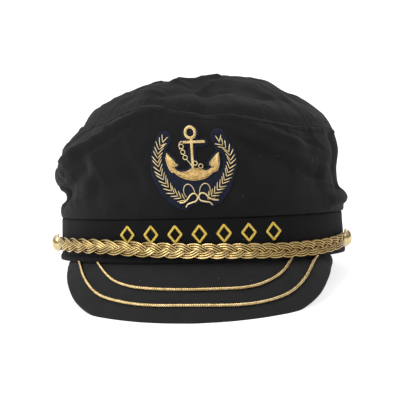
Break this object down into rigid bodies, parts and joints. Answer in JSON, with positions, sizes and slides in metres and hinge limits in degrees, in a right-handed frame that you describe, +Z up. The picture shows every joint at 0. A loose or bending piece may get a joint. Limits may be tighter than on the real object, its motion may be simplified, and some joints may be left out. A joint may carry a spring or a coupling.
{
  "type": "captain hat",
  "caption": "Captain's cap with a soft black cotton crown, stiff band, cloth peak with gold cords, plaited gold strap, domed buttons and an anchor badge in laurel.",
  "frame": {"origin": "on the surface that the cap lies on, under the centre of its overall box", "axes": "+Z up from that surface, the front of the cap with its peak towards -Y, +X to the right of someone who looks at the front; the band leans back by 8 degrees because the cap lies on the front edge of its peak and the back of its band"},
  "size_m": [0.19, 0.2442, 0.1299],
  "materials": {
    "black_cotton": "plain woven cotton twill, matt, slightly dusty sheen",
    "gold_gimp": "metallic gold thread wound over a cord core, satin",
    "gold_button": "polished gold, domed",
    "gold_purl": "coiled bullion wire, softly sparkling",
    "navy_felt": "pressed wool felt, matt",
    "yellow_thread": "satin stitched rayon thread, silky"
  },
  "bodies": {
    "root": {"band": "black_cotton", "crown_side": "black_cotton", "crown_tip": "black_cotton", "peak": "black_cotton", "peak_cord_inner": "gold_gimp", "peak_cord_outer": "gold_gimp", "braid_strand_1": "gold_gimp", "braid_strand_2": "gold_gimp", "braid_strand_3": "gold_gimp", "button_left": "gold_button", "button_right": "gold_button", "badge_backing": "navy_felt", "badge_anchor": "gold_purl", "badge_branch_left": "gold_purl", "badge_branch_right": "gold_purl", "band_motif_1": "yellow_thread", "band_motif_2": "yellow_thread", "band_motif_3": "yellow_thread", "band_motif_4": "yellow_thread", "band_motif_5": "yellow_thread", "band_motif_6": "yellow_thread", "band_motif_7": "yellow_thread"}
  },
  "joints": []
}
